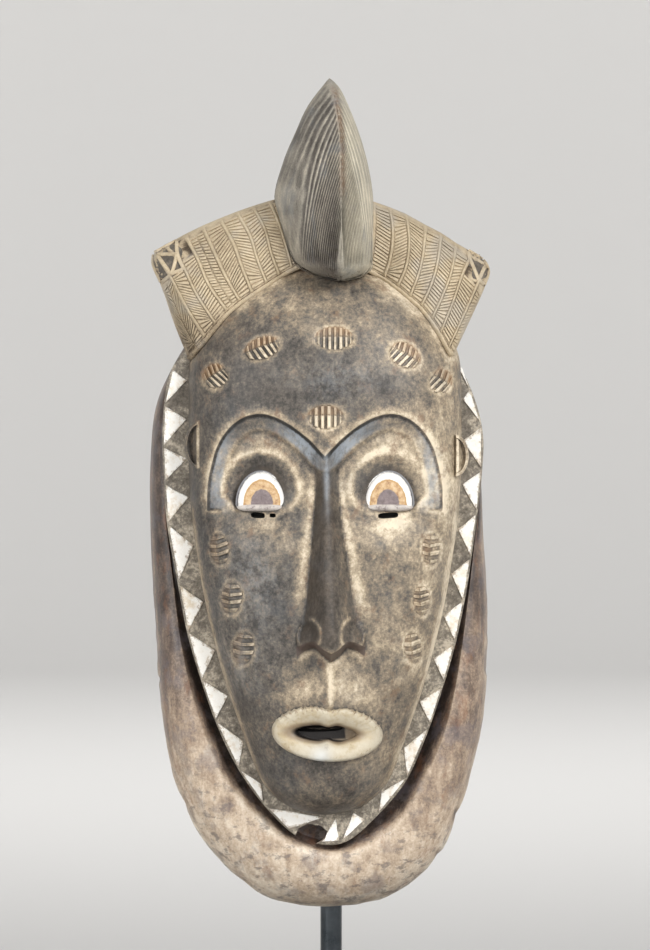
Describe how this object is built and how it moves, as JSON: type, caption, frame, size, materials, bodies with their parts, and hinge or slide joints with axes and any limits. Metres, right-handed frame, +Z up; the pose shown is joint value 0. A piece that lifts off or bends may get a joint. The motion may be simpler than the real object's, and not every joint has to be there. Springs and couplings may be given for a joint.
{
  "type": "carved wooden face mask on a stand",
  "caption": "Long carved face mask with toothed border, rolled collar, side buns and tall crest, held upright on a rod with a square foot.",
  "frame": {"origin": "middle of the foot's underside", "axes": "+Z up along the rod, the mask looks along -Y, +X to the viewer's right"},
  "size_m": [0.1648, 0.1528, 0.485],
  "materials": {
    "carved_wood": "worn dark patina with chalky paint and dust",
    "rod_steel": "dark polished steel",
    "foot_paint": "satin black paint"
  },
  "bodies": {
    "root": {"mask": "carved_wood", "stand_rod": "rod_steel", "stand_foot": "foot_paint"}
  },
  "joints": []
}
